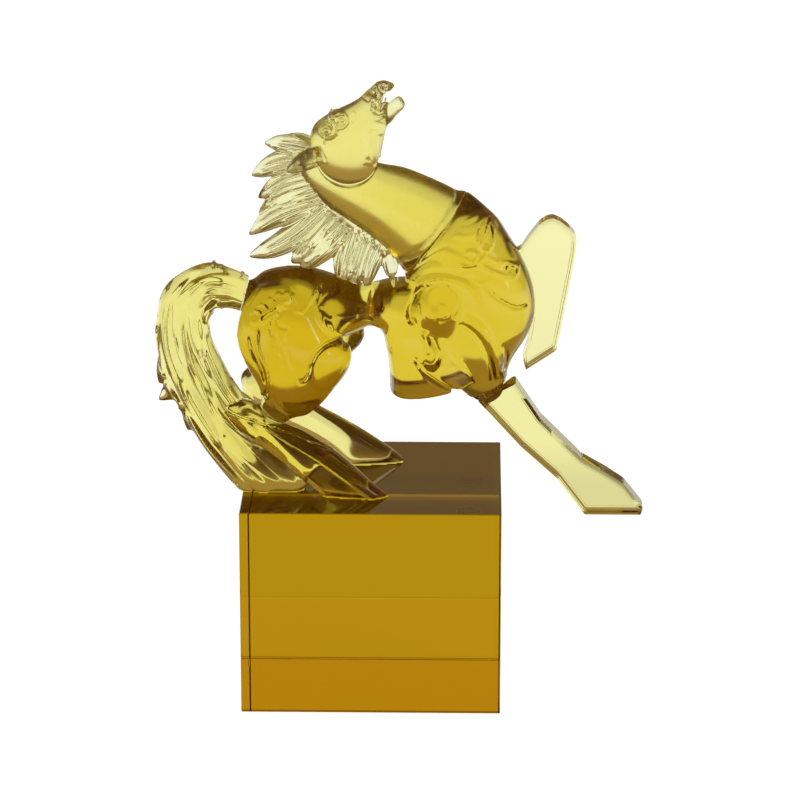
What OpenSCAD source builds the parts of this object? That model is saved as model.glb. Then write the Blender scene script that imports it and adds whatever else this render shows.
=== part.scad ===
// Glass horse figurine, rearing and turning its head back, bonded to a polished glass block.
// The figure is made as separate glass pieces, and every joint holds a thin film of clear adhesive.
// Origin: centre of the whole object's footprint box, on the surface it stands on. +X is the way
// the forelegs reach, +Y is the off side, +Z is up.

/* [Base block] */
// Width of the block along X
block_w = 80; // [76:1:90]
// Depth of the block along Y
block_d = 72; // [66:1:84]
// Height of the block
block_h = 65; // [40:1:80]
// Width of the polished bevel along each edge of the block
block_bevel = 0.6; // [0.3:0.1:1.2]

/* [Bumper pads] */
// Radius of each self-adhesive pad under the block
pad_r = 4; // [3:0.5:5]
// Thickness of each pad
pad_t = 1.5; // [1:0.1:2.5]
// Distance of the pads from the block's centre along X
pad_x = 30; // [24:1:32]
// Distance of the pads from the block's centre along Y
pad_y = 21; // [18:1:26]

/* [Bonds] */
// Thickness of the clear adhesive film in each joint
bond_t = 0.2; // [0.1:0.05:0.3]

/* [Figure] */
// Thickness of the extended near foreleg, a slab polished flat on both sides
near_foreleg_t = 9.5; // [8:0.5:11]
// Thickness of the folded off foreleg
off_foreleg_t = 8; // [7:0.5:9]
// Thickness of the mane at its root
mane_t = 8; // [6:0.5:9]

/* [Hidden] */

// The block sits off the origin, because the forelegs reach further out than the tail.
block_x = -8.3;
// Height of the block's top face, which the figure is measured from
top_z = pad_t + block_h;
// Size of the boxes that stand for half of space
far = 200;
// Side of the box that trims a piece at a joint, kept small enough to miss what lies beyond it
trim = 60;
neck_trim = 38;
tail_trim = 16;
foreleg_trim = 40;
leg_trim = 30;
// How far the sides of a pad slope in towards its sole
pad_slope = 0.5;
glass = [0.88, 0.80, 0.30, 0.6];
pale_glass = [0.88, 0.88, 0.66, 0.6];
adhesive = [0.95, 0.95, 0.90, 0.4];

// A station is [x, y, z, rx, ry, rz]: an ellipsoid's centre and its three radii.
CHEST = [
    [22, 0, 79, 11, 13, 9], [27, 0, 73, 15, 17, 12], [29, 0, 62, 19, 19, 14],
    [30, 0, 52, 18, 19, 14], [31, -1, 43, 13, 17, 11], [35, -6, 36, 8.5, 9, 7.5]
];
BELL = [
    [22, 0, 58, 16, 17, 10], [14, 0, 54, 11, 16, 9], [14.5, 0, 44, 10.5, 16, 8],
    [16.5, 0, 37, 11.5, 16, 5], [17.5, 0, 31.5, 12.5, 15.5, 2.5], [28, -1, 36, 9, 14, 4.5]
];
BARREL = [
    [22, 0, 57, 14, 16, 10], [8, 0, 57, 9, 14, 7.5], [0, 0, 56, 6, 12.5, 6],
    [-8, 0, 55, 8, 14, 7.5], [-17, 0, 54, 12, 17, 12], [-27, 0, 54, 12.5, 16, 12.5]
];
NEAR_THIGH = [
    [-25, -8, 53, 15.5, 11, 12], [-23, -10, 44, 16.5, 10.5, 13], [-18, -11, 37, 12, 9.5, 10],
    [-21, -11, 30, 9, 8, 7], [-28, -11, 26, 8, 6.5, 6], [-37, -11, 22, 6, 5.5, 6]
];
OFF_THIGH = [
    [-24, 8, 52, 14, 10, 12], [-16, 10, 46, 12.5, 9, 10], [-12, 11, 42, 9, 8.5, 7.5],
    [-19, 12, 32, 8, 7, 7], [-27, 12, 24, 7, 5.5, 6], [-35, 12, 22, 5.5, 5, 6]
];
TORSO_SET = [CHEST, BELL, BARREL, NEAR_THIGH, OFF_THIGH];

NECK = [
    [24, 0, 78, 10, 12, 11], [17, 0, 81, 11, 11, 13], [9, 0, 84.5, 10.5, 10.5, 12.7],
    [1, 0, 88, 10, 10, 11.8], [-6, 0, 92.5, 9.5, 9.5, 9.5], [-12, 0, 97.5, 8, 9, 7.5], [-17, 0, 100, 4, 6, 5]
];
HEAD = [
    [-16, 0, 107, 4, 6.5, 5], [-13, 0, 109.5, 5, 7.5, 6.5], [-7, 0, 105.5, 9, 8.6, 9],
    [-8, 0, 111, 7, 8, 7], [-3, 0, 112, 7.5, 7.5, 7.5], [0, 0, 117, 4.8, 6, 6],
    [2.6, 0, 122.5, 3.2, 4.6, 4], [4.6, 0, 124.5, 2, 4, 2.2]
];
LOWER_JAW = [
    [-2, 0, 108, 4, 6, 6], [2.4, 0, 114.5, 3.5, 4.6, 4],
    [5.8, 0, 118, 2.6, 3.6, 2.6], [8, 0, 119.7, 1.8, 3, 1.8]
];
NEAR_EAR = [[-15, -4, 105, 2.5, 2, 2.2], [-20, -5.5, 102.5, 3, 1.8, 2.4], [-25, -6.5, 99.5, 1.4, 1, 1.2]];
OFF_EAR = [[-15, 4, 105, 2.5, 2, 2.2], [-20, 5.5, 102.5, 3, 1.8, 2.4], [-25, 6.5, 99.5, 1.4, 1, 1.2]];
HEAD_SET = [HEAD, LOWER_JAW];
EARS = [NEAR_EAR, OFF_EAR];

TAIL = [
    [-37, 0, 58, 4, 5, 5], [-41, 0, 61, 4.5, 5, 5], [-48, 0, 62, 6, 5.5, 6.5],
    [-55.5, -1, 57.5, 7.5, 5.5, 8.5], [-59, -2, 49, 8, 5.5, 9], [-59, -4, 39.5, 7.5, 5.5, 9],
    [-54, -6, 31, 8, 5.5, 8], [-50, -8, 23.5, 8.5, 5.5, 7.5], [-44.5, -9, 16.5, 8, 5.5, 7.5],
    [-36, -10, 9, 7, 5.5, 7], [-26, -11, 3.5, 8, 6, 5], [-17, -12, 1, 7, 6, 3]
];
TAIL_SPUR = [[-61, -4, 36, 5, 4, 7], [-65, -4, 29, 2.5, 2.5, 3]];

NEAR_HIND = [
    [-41, -11, 22, 5.5, 5.5, 6], [-38, -11.5, 20, 7, 6, 7], [-30, -12, 17.5, 7, 6, 7.5],
    [-20, -14, 12.5, 7.5, 6.4, 6.8], [-10, -16.5, 7, 7.5, 6.6, 6], [-3, -18.5, 4, 4.5, 5.6, 4],
    [3, -20.5, 1.4, 3, 3.5, 1.7]
];
OFF_HIND = [
    [-35, 12, 21, 5.5, 5, 6], [-28, 12.5, 20, 6, 5, 6], [-18, 13.5, 16, 6.5, 5.2, 6],
    [-8, 14.5, 9.5, 6.5, 5.4, 5.8], [-1, 15.5, 3.8, 6, 5.2, 4.8], [5.2, 16, 1.2, 3, 4, 1.8]
];

// Crest of the mane, from the poll to the withers
MANE_CREST = [
    [-19, 0, 103, 3, 1, 3], [-21, 0, 97, 3.5, 1, 3.5], [-16, 0, 89, 4, 1, 4],
    [-8, 0, 83, 4, 1, 4], [0, 0, 77, 4, 1, 4], [6, 0, 71, 3, 1, 4]
];
LOCK_TOP = [
    [-19, -1, 104, 3, 0.8, 3.5], [-26, -2, 104, 4, 0.7, 3.6], [-31, -2, 102.5, 2.6, 0.6, 4.6],
    [-34, -2, 98.5, 1.7, 0.5, 2.4], [-35.5, -2, 96.5, 0.9, 0.4, 0.9]
];
LOCK_UPPER = [[-21, 0, 99, 3, 0.9, 4], [-28, 0, 95, 3.5, 0.7, 4], [-32, 0, 91, 1.5, 0.4, 2]];
LOCK_LONG = [
    [-18, 0, 92, 4, 0.9, 6], [-27, 0, 87, 5, 0.8, 5], [-33, -1, 82.5, 3, 0.6, 3], [-37, -1, 79, 1.1, 0.4, 1.1]
];
LOCK_LOW = [
    [-12, 0, 86, 5, 0.9, 6], [-22, 1, 80, 6, 0.8, 5], [-31, 1, 76, 4, 0.6, 3.4], [-36.4, 1, 71.5, 1, 0.4, 1.8]
];
LOCK_BACK = [
    [-6, 0, 80, 5, 0.9, 6], [-14, -1, 76, 6, 0.8, 4],
    [-21, -1, 72.5, 3, 0.6, 3], [-24.5, -1, 70.5, 1, 0.4, 1.3]
];
LOCK_CROUP = [
    [0, 0, 76, 5, 0.9, 5], [-8, 0, 72, 5, 0.8, 4], [-15, 0, 69.5, 4, 0.6, 2.5], [-19, 0, 68.5, 1.5, 0.4, 1.2]
];
LOCK_WITHERS = [
    [3, 0, 73, 4, 0.9, 4], [-2, 0, 69, 3, 0.8, 4], [-5, 0, 64, 2, 0.6, 2.5], [-6, 0, 62, 1.2, 0.4, 1]
];
LOCK_SET = [LOCK_TOP, LOCK_UPPER, LOCK_LONG, LOCK_LOW, LOCK_BACK, LOCK_CROUP, LOCK_WITHERS];

FORELOCK = [
    [-17, 0, 111, 1.6, 2.5, 1.6], [-18.5, 0, 110.5, 1.6, 2.5, 1.6], [-20, 0, 110, 1.6, 2.4, 1.6],
    [-21.5, 0, 109.6, 1.6, 2.3, 1.5], [-23, 0, 109.4, 1.5, 2.2, 1.4], [-24.5, 0, 109, 1.4, 2, 1.3],
    [-26, 0, 108.4, 1.2, 1.8, 1.2], [-27, 0, 107.6, 1, 1.5, 1], [-27.3, 0, 107, 0.8, 1.2, 0.8]
];

// Each joint is [x, z, angle]: a point on its plane, and the way its outward side faces, in degrees
// above +X. Every joint plane holds the Y direction.
NECK_JOINT = [18.5, 78, 143];
TAIL_ROOT_JOINT = [-39.5, 59, 165];
NEAR_FORELEG_JOINT = [37, 31, -62];
OFF_FORELEG_JOINT = [41, 57, 15];
NEAR_HOCK_JOINT = [-35, 22.5, -110];
OFF_HOCK_JOINT = [-28, 21, -70];
// The head's round jowl sits in a matching hollow in the neck: [x, z, r]
JOWL = [-7.5, 104.6, 9.6];
// Thickness of the cheeks across the jowl
cheek_t = 17;
// How far the jaw's own disc stands out past the hollow's outline before it is trimmed
cheek_margin = 1;
// How far below the jowl's centre the throat side of the head starts
jowl_drop = 5;
// Height above which everything at the poll belongs to the head, and the way back it reaches along X
POLL_Z = 103;
POLL_X = -5;
// Where the tail's foot meets the near hind leg: [x, z, fall in degrees], and the wedge above that line
TAIL_LEG_LINE = [-40, 19, 36.3];
tail_leg_wedge = [50, 10];

// Centres and radii of the discs that outline the extended near foreleg, as [x, z, r]
NEAR_FORELEG_STATIONS = [
    [35.5, 33.5, 6.2], [41, 28, 5.8], [47, 21, 5.4], [53, 14.6, 5], [59, 9, 4.8],
    [65, 4, 5.2], [70.5, -1.5, 5.6], [76, -4.5, 5], [81, -7, 3]
];
NEAR_FORELEG_Y = -8.5;
NEAR_SOLE_Z = -8;
// Centres and radii of the discs that outline the folded off foreleg, as [x, z, r]
OFF_FORELEG_STATIONS = [
    [38, 52, 9], [44, 59, 8], [50, 67, 7], [55.5, 75.3, 6.4], [57, 70.5, 6],
    [55.5, 62, 6.5], [54, 54, 6.5], [52.5, 46, 5.5], [51, 41, 4.8], [48, 35.5, 3]
];
OFF_FORELEG_Y = 10;

module figure() {
    translate([block_x, 0, top_z]) children();
}

module blob(s, facets) {
    translate([s[0], s[1], s[2]]) scale([s[3], s[4], s[5]]) sphere(1, $fn = facets);
}

// Solid through a list of stations, each joined to the next
module chain(stations, facets = 20) {
    for (i = [0 : len(stations) - 2]) {
        hull() {
            blob(stations[i], facets);
            blob(stations[i + 1], facets);
        }
    }
}

module chains(lists, facets = 20) {
    for (stations = lists) chain(stations, facets);
}

// Frame of a joint: its local +X points outwards along the joint's normal
module at_joint(joint) {
    translate([joint[0], 0, joint[1]]) rotate([0, -joint[2], 0]) children();
}

// Box of the joint's outward side, starting at a distance from its plane
module outside(joint, start = 0, side = trim) {
    at_joint(joint) translate([start, -side / 2, -side / 2]) cube([side, side, side]);
}

module inside(joint, start = 0, side = trim) {
    at_joint(joint) translate([start - side, -side / 2, -side / 2]) cube([side, side, side]);
}

module film(joint, side) {
    at_joint(joint) translate([0, -side / 2, -side / 2]) cube([bond_t, side, side]);
}

// Half of space on one side of the figure's middle plane
module near_side() translate([-far / 2, -far, -far / 2]) cube(far);
module off_side() translate([-far / 2, 0, -far / 2]) cube(far);

// Everything below a height over the block's top face
module below(height) translate([-far / 2, -far / 2, height - far]) cube(far);

// Round bar across Y that the jowl's outline follows
module jowl_bar(extra) {
    translate([JOWL[0], 0, JOWL[1]]) rotate([90, 0, 0])
        cylinder(h = trim, r = JOWL[2] + extra, center = true, $fn = 64);
}

module above_poll(extra) translate([POLL_X - far, -far / 2, POLL_Z + extra]) cube(far);

// Everything ahead of the jowl's middle, from just below its centre upwards
module before_jowl() translate([JOWL[0], -far / 2, JOWL[1] - jowl_drop]) cube(far);

module torso_form() chains(TORSO_SET);
module neck_form() chain(NECK);
module head_form() {
    chains(HEAD_SET, 18);
    translate([JOWL[0], 0, JOWL[1]]) bevelled_disc(JOWL[2] + cheek_margin, cheek_t);
}
module near_hind_form() chain(NEAR_HIND, 18);
module off_hind_form() chain(OFF_HIND, 18);

module tail_form() {
    chain(TAIL, 18);
    chain(TAIL_SPUR, 12);
}

// A flat disc with both rims bevelled, lying across Y
module bevelled_disc(r, t, facets = 24) {
    bevel = t / 6;
    rotate([90, 0, 0]) {
        translate([0, 0, -t / 2]) cylinder(h = bevel, r1 = r - bevel, r2 = r, $fn = facets);
        translate([0, 0, bevel - t / 2]) cylinder(h = t - 2 * bevel, r = r, $fn = facets);
        translate([0, 0, t / 2 - bevel]) cylinder(h = bevel, r1 = r, r2 = r - bevel, $fn = facets);
    }
}

// A flat limb through a list of discs, each joined to the next
module flat_limb(stations, t, y) {
    translate([0, y, 0]) {
        for (i = [0 : len(stations) - 2]) {
            hull() {
                disc_station(stations[i], t);
                disc_station(stations[i + 1], t);
            }
        }
    }
}

module disc_station(s, t) translate([s[0], 0, s[1]]) bevelled_disc(s[2], t);

module near_foreleg_form() flat_limb(NEAR_FORELEG_STATIONS, near_foreleg_t, NEAR_FORELEG_Y);
module off_foreleg_form() flat_limb(OFF_FORELEG_STATIONS, off_foreleg_t, OFF_FORELEG_Y);

// The block's outline with its corners cut at 45 degrees, extruded
module bevelled_prism(a, b, length) {
    c = block_bevel;
    linear_extrude(length, center = true)
        polygon([
            [-a / 2 + c, -b / 2], [a / 2 - c, -b / 2], [a / 2, -b / 2 + c], [a / 2, b / 2 - c],
            [a / 2 - c, b / 2], [-a / 2 + c, b / 2], [-a / 2, b / 2 - c], [-a / 2, -b / 2 + c]
        ]);
}

module base_block() {
    color([0.75, 0.60, 0.05, 0.6])
        translate([block_x, 0, pad_t + block_h / 2])
            intersection() {
                bevelled_prism(block_w, block_d, block_h);
                rotate([90, 0, 0]) bevelled_prism(block_w, block_h, block_d);
                rotate([90, 0, 90]) bevelled_prism(block_d, block_h, block_w);
            }
}

module pad(side_x, side_y) {
    color(adhesive)
        translate([block_x + side_x * pad_x, side_y * pad_y, 0])
            cylinder(h = pad_t, r1 = pad_r - pad_slope, r2 = pad_r, $fn = 48);
}

module pad_front_left() pad(-1, -1);
module pad_front_right() pad(1, -1);
module pad_rear_left() pad(-1, 1);
module pad_rear_right() pad(1, 1);

module torso() {
    color(glass) figure() difference() {
        torso_form();
        outside(NECK_JOINT, 0, neck_trim);
        outside(TAIL_ROOT_JOINT, 0, tail_trim);
        intersection() {
            outside(NEAR_FORELEG_JOINT, 0, foreleg_trim);
            near_side();
        }
        intersection() {
            outside(NEAR_HOCK_JOINT, 0, leg_trim);
            near_side();
        }
        intersection() {
            outside(OFF_HOCK_JOINT, 0, leg_trim);
            off_side();
        }
        off_foreleg_seat();
    }
}

// Room that the torso leaves for the folded foreleg and its adhesive
module off_foreleg_seat() {
    intersection() {
        off_foreleg_form();
        outside(OFF_FORELEG_JOINT);
    }
}

module neck() {
    color(glass) figure() difference() {
        neck_form();
        inside(NECK_JOINT, bond_t);
        jowl_bar(bond_t);
        above_poll(0);
    }
}

module head() {
    color(glass) figure() union() {
        intersection() {
            head_form();
            union() {
                jowl_bar(0);
                before_jowl();
                above_poll(bond_t);
            }
        }
        difference() {
            chains(EARS, 14);
            neck_form();
        }
    }
}

module mane() {
    color(pale_glass) figure() difference() {
        scale([1, mane_t / 2, 1]) {
            chain(MANE_CREST, 14);
            chains(LOCK_SET, 12);
        }
        neck_form();
        head_form();
        chains(EARS, 14);
        torso_form();
    }
}

module forelock() {
    color(pale_glass) figure() difference() {
        chain(FORELOCK, 14);
        head_form();
        scale([1, mane_t / 2, 1]) chain(LOCK_TOP, 12);
    }
}

module tail() {
    color(pale_glass) figure() difference() {
        tail_form();
        inside(TAIL_ROOT_JOINT, bond_t, leg_trim);
        tail_leg_clearance();
        below(bond_t);
        near_hind_form();
    }
}

// Wedge above the line where the hind leg crosses the foot of the tail
module tail_leg_clearance() {
    translate([TAIL_LEG_LINE[0], -far / 2, TAIL_LEG_LINE[1]]) rotate([0, TAIL_LEG_LINE[2], 0])
        cube([tail_leg_wedge[0], far, tail_leg_wedge[1]]);
}

module near_foreleg() {
    color(pale_glass) figure() difference() {
        near_foreleg_form();
        inside(NEAR_FORELEG_JOINT, bond_t);
        below(NEAR_SOLE_Z);
    }
}

module off_foreleg() {
    color(pale_glass) figure() difference() {
        off_foreleg_form();
        inside(OFF_FORELEG_JOINT, bond_t);
    }
}

module near_hind_leg() {
    color(glass) figure() difference() {
        near_hind_form();
        inside(NEAR_HOCK_JOINT, bond_t, leg_trim);
        below(bond_t);
    }
}

module off_hind_leg() {
    color(glass) figure() difference() {
        off_hind_form();
        inside(OFF_HOCK_JOINT, bond_t, leg_trim);
        below(bond_t);
    }
}

module bond(joint, side) {
    color(adhesive) figure() intersection() {
        union() children();
        film(joint, side);
    }
}

module bond_neck() bond(NECK_JOINT, trim) neck_form();
// The film under the jowl covers the middle of the cheek's rim, below the poll
module bond_poll() {
    color(adhesive) figure() intersection() {
        neck_form();
        translate([-far / 2, -cheek_t / 3, POLL_Z - far]) cube([far, 2 * cheek_t / 3, far]);
        difference() {
            jowl_bar(bond_t);
            jowl_bar(0);
        }
    }
}

module bond_tail_root() bond(TAIL_ROOT_JOINT, tail_trim) tail_form();
module bond_near_foreleg() bond(NEAR_FORELEG_JOINT, leg_trim) near_foreleg_form();
module bond_off_foreleg() bond(OFF_FORELEG_JOINT, leg_trim) off_foreleg_form();
module bond_near_hock() bond(NEAR_HOCK_JOINT, leg_trim) near_hind_form();
module bond_off_hock() bond(OFF_HOCK_JOINT, leg_trim) off_hind_form();

// Film between the block's top face and what stands on it
module foot_bond() {
    color(adhesive) figure() intersection() {
        union() children();
        translate([-far / 2, -far / 2, 0]) cube([far, far, bond_t]);
    }
}

module bond_near_hoof() foot_bond() near_hind_form();
module bond_off_hoof() foot_bond() off_hind_form();
module bond_tail_foot() foot_bond() difference() {
    tail_form();
    near_hind_form();
}

base_block();
pad_front_left();
pad_front_right();
pad_rear_left();
pad_rear_right();
torso();
neck();
head();
mane();
forelock();
tail();
near_foreleg();
off_foreleg();
near_hind_leg();
off_hind_leg();
bond_neck();
bond_poll();
bond_tail_root();
bond_near_foreleg();
bond_off_foreleg();
bond_near_hock();
bond_off_hock();
bond_near_hoof();
bond_off_hoof();
bond_tail_foot();
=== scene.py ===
"""Cast-glass horse on a polished glass block: the looks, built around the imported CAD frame."""

import math

import bmesh
import bpy
import numpy as np
import openvdb
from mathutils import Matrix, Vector


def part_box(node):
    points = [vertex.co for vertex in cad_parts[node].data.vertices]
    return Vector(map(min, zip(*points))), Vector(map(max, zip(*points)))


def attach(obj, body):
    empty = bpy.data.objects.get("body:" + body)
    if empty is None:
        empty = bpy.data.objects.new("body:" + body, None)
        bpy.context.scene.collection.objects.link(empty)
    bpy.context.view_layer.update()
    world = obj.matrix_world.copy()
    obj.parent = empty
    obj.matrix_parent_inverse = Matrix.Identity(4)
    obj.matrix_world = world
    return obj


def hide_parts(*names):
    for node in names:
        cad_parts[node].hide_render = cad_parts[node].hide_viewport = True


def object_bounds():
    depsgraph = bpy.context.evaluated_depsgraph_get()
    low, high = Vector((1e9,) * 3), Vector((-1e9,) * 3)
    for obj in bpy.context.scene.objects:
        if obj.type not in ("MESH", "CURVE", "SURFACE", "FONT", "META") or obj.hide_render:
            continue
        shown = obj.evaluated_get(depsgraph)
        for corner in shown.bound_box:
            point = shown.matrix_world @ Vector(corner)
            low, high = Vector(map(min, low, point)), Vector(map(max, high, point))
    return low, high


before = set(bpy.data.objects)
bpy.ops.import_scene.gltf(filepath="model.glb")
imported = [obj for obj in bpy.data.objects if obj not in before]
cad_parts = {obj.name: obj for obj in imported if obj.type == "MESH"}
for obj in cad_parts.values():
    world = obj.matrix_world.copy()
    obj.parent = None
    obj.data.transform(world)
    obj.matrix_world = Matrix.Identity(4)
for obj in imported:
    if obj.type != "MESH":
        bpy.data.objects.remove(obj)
cad_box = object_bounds()

MM = 0.001
# Figure coordinates are millimetres from the middle of the block's top face:
# x the way the forelegs reach, y towards the off side, z up.
block_low, block_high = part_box("base_block")
ORIGIN = np.array([(block_low.x + block_high.x) / 2, (block_low.y + block_high.y) / 2, block_high.z])
CAD_LOW, CAD_HIGH = [(np.array(corner) - ORIGIN) / MM for corner in cad_box]
# Thickness of the adhesive in each joint
BOND = 0.2
# What a field says about voxels that are well away from the glass
FAR = 6.0
# A face touches another piece if that piece is met this far in front of it
LOOK_AHEAD = 0.45
# Smoothed points are kept this far inside the CAD box
BOX_MARGIN = 0.01


# ---------------------------------------------------------------- curves and sculpting

def spline(points, closed=False, steps=8):
    """A smooth curve through given points (Catmull-Rom)."""
    p = np.array(points, float)
    n = len(p)
    t = np.linspace(0, 1, steps, endpoint=False)[:, None]
    spans = []
    for i in range(n if closed else n - 1):
        b, c = p[i], p[(i + 1) % n]
        a = p[i - 1] if closed or i else 2 * b - c
        d = p[(i + 2) % n] if closed or i + 2 < n else 2 * c - b
        square, cube = 2 * a - 5 * b + 4 * c - d, 3 * b - a - 3 * c + d
        spans.append(0.5 * (2 * b + (c - a) * t + square * t**2 + cube * t**3))
    if not closed:
        spans.append(p[-1:])
    return np.vstack(spans)


def smoothstep(low, high, value):
    t = np.clip((value - low) / (high - low), 0, 1)
    return t * t * (3 - 2 * t)


def path_distance(x, z, path, closed=False):
    """Distance of each point of a plane grid from a path, and how far along it the nearest point lies."""
    best = np.full(np.broadcast(x, z).shape, 1e9, np.float32)
    along = np.zeros_like(best)
    ends = np.roll(path, -1, 0) if closed else path[1:]
    for i, (a, b) in enumerate(zip(path, ends)):
        d = b - a
        t = np.clip(((x - a[0]) * d[0] + (z - a[1]) * d[1]) / max(d @ d, 1e-9), 0, 1)
        gap = (x - a[0] - t * d[0]) ** 2 + (z - a[1] - t * d[1]) ** 2
        nearer = gap < best
        best = np.where(nearer, gap, best)
        along = np.where(nearer, (i + t) / len(ends), along)
    return np.sqrt(best), along


def inside_outline(x, z, path):
    """True for the points of a plane grid that lie inside a closed path."""
    odd = np.zeros(np.broadcast(x, z).shape, bool)
    for a, b in zip(path, np.roll(path, -1, 0)):
        if a[1] != b[1]:
            spans = (a[1] > z) != (b[1] > z)
            odd ^= spans & (x < a[0] + (z - a[1]) * (b[0] - a[0]) / (b[1] - a[1]))
    return odd


def around(p):
    """Sum of each cell's four neighbours."""
    total = np.zeros_like(p)
    total[1:] += p[:-1]
    total[:-1] += p[1:]
    total[:, 1:] += p[:, :-1]
    total[:, :-1] += p[:, 1:]
    return total


def swell(depth, voxel, sweeps=50):
    """The square of the half thickness of a round-bellied form, from the depth inside its outline.

    It solves a soap film's equation, so a strip comes out round and a wide form comes out full.
    Outside the outline it goes on falling at the same slope.
    """
    inside = depth > 0
    film = np.zeros_like(depth)
    if min(depth.shape) > 24:
        coarse = swell(depth[::2, ::2], voxel * 2) / 2
        film = np.repeat(np.repeat(coarse, 2, 0), 2, 1)[: depth.shape[0], : depth.shape[1]]
    outside_depth = np.where(inside, 0, -depth)
    weight = 4 + around(outside_depth) / np.maximum(depth, 0.05 * voxel)
    film = np.where(inside, np.maximum(film, 0), 0)
    parity = np.add.outer(np.arange(depth.shape[0]), np.arange(depth.shape[1])) % 2
    for _ in range(sweeps):
        for colour in (0, 1):
            fresh = (voxel**2 + around(film)) / weight
            film = np.where(inside & (parity == colour), film + 1.7 * (fresh - film), film)
    rim = inside & (depth < 2.5 * voxel)
    slope = np.where(rim, film / np.maximum(depth, 1e-3), 0)
    known = rim.astype(float)
    for _ in range(10):
        count = around(known)
        spread = (known == 0) & (count > 0)
        slope = np.where(spread, around(slope) / np.maximum(count, 1), slope)
        known = np.where(spread, 1, known)
    slope = np.where(known > 0, slope, slope[rim].mean())
    return 2 * np.where(inside, film, slope * depth)


def polar(centre, radius, start, end, count=9, squash=1.0):
    """Points of an arc about a centre, from a start to an end angle in degrees."""
    angles = np.radians(np.linspace(start, end, count))
    return [(centre[0] + radius * math.cos(a), centre[1] + squash * radius * math.sin(a)) for a in angles]


class Clay:
    """A block of voxels that one piece of glass is sculpted in. Values below zero are glass."""

    def __init__(self, low, high, voxel):
        self.low = np.array(low, float)
        self.voxel = voxel
        counts = np.ceil((np.array(high) - self.low) / voxel).astype(int) + 1
        axes = [self.low[i] + voxel * np.arange(counts[i]) for i in range(3)]
        self.x = axes[0].astype(np.float32)[:, None, None]
        self.y = axes[1].astype(np.float32)[None, :, None]
        self.z = axes[2].astype(np.float32)[None, None, :]
        self.px = self.x[:, 0]
        self.pz = self.z[0]
        self.f = np.full(counts, FAR, np.float32)

    def window(self, low, high):
        """Slices of the voxels between two corners."""
        cuts = []
        for i, count in enumerate(self.f.shape):
            start = int(np.floor((low[i] - self.low[i]) / self.voxel))
            stop = int(np.ceil((high[i] - self.low[i]) / self.voxel)) + 1
            cuts.append(slice(max(0, min(start, count)), max(0, min(stop, count))))
        return tuple(cuts)

    def join(self, field, blend=0.0, where=...):
        """Adds a form, with a fillet about as wide as blend."""
        old = self.f[where]
        if blend:
            h = np.maximum(blend - np.abs(old - field), 0) / blend
            self.f[where] = np.minimum(old, field) - h * h * blend / 4
        else:
            self.f[where] = np.minimum(old, field)

    def remove(self, field, blend=0.0, where=...):
        """Takes a form away, with a rounded edge about as wide as blend."""
        old = self.f[where]
        if blend:
            h = np.maximum(blend - np.abs(old + field), 0) / blend
            self.f[where] = np.maximum(old, -field) + h * h * blend / 4
        else:
            self.f[where] = np.maximum(old, -field)

    def depth(self, outline):
        """How far inside an outline each point of the XZ grid lies. It's below zero outside."""
        path = spline(outline, closed=True)
        gap, _ = path_distance(self.px, self.pz, path, closed=True)
        return np.where(inside_outline(self.px, self.pz, path), gap, -gap)

    def form(self, outline, y=0.0, fullness=1.0, limit=None):
        """Field of a round-bellied form with an outline in the XZ plane.

        fullness scales its thickness, and limit flattens it at that half thickness.
        """
        depth = self.depth(outline)
        square = swell(depth, self.voxel) * fullness**2
        if limit is not None:
            square = np.where(square > 0, limit**2 * (1 - np.exp(-square / limit**2)), square)
        gx, gz = np.gradient(square, self.voxel)
        off = self.y - y
        rise = np.sqrt(4 * off**2 + (gx**2 + gz**2)[:, None, :] + 0.3)
        field = (off**2 - square[:, None, :]) / rise
        # Outside the outline, and past the form's thickest part, the surface is at least this far away
        field = np.maximum(field, np.where(depth < 0, -depth, -2 * FAR)[:, None, :])
        field = np.maximum(field, np.abs(off) - math.sqrt(square.max()))
        return field.astype(np.float32)

    def strand(self, path, radii, flat=1.0, blend=0.0, carve=False):
        """A tapered tube along a path of (x, y, z), flat times as thick across Y as it is wide."""
        path = np.array(path, float)
        radii = np.array(radii, float)
        reach = radii.max() * max(1, flat) + 2 * blend + 0.6
        where = self.window(path.min(0) - reach, path.max(0) + reach)
        x = self.x[where[0]]
        y = self.y[:, where[1]] / flat
        z = self.z[:, :, where[2]]
        if not x.size or not y.size or not z.size:
            return
        nodes = path / np.array([1, flat, 1])
        field = np.full((x.shape[0], y.shape[1], z.shape[2]), FAR, np.float32)
        for a, b, ra, rb in zip(nodes[:-1], nodes[1:], radii[:-1], radii[1:]):
            d = b - a
            dx, dy, dz = x - a[0], y - a[1], z - a[2]
            t = np.clip((dx * d[0] + dy * d[1] + dz * d[2]) / max(d @ d, 1e-9), 0, 1)
            gap = np.sqrt((dx - t * d[0]) ** 2 + (dy - t * d[1]) ** 2 + (dz - t * d[2]) ** 2)
            field = np.minimum(field, gap - ra - t * (rb - ra))
        if carve:
            self.remove(field, blend, where)
        else:
            self.join(field, blend, where)

    def line(self, points, width, height, taper=True):
        """Height map of a raised (or, with a height below zero, engraved) line."""
        path = spline(points)
        gap, along = path_distance(self.px, self.pz, path)
        fade = np.sqrt(np.clip(4 * along * (1 - along) * 3, 0, 1)) if taper else 1
        return height * fade * np.exp(-((gap / width) ** 2))

    def plateau(self, outline, height, slope):
        """Height map of a raised area with a soft edge."""
        return height * smoothstep(-slope / 2, slope / 2, self.depth(outline))

    def raise_surface(self, height_map, off=1.0):
        """Moves the near surface outwards by a height map in XZ, and the off surface by a share of it."""
        side = smoothstep(-1, 1, self.y)
        self.f -= (height_map[:, None, :] * (1 - side + off * side)).astype(np.float32)

    def beyond(self, joint, start=0.0):
        """Field of the half space on a joint's outward side, from a distance past its plane."""
        x, z, angle = joint
        nx, nz = math.cos(math.radians(angle)), math.sin(math.radians(angle))
        return (start - ((self.x - x) * nx + (self.z - z) * nz)) + 0 * self.y

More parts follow.
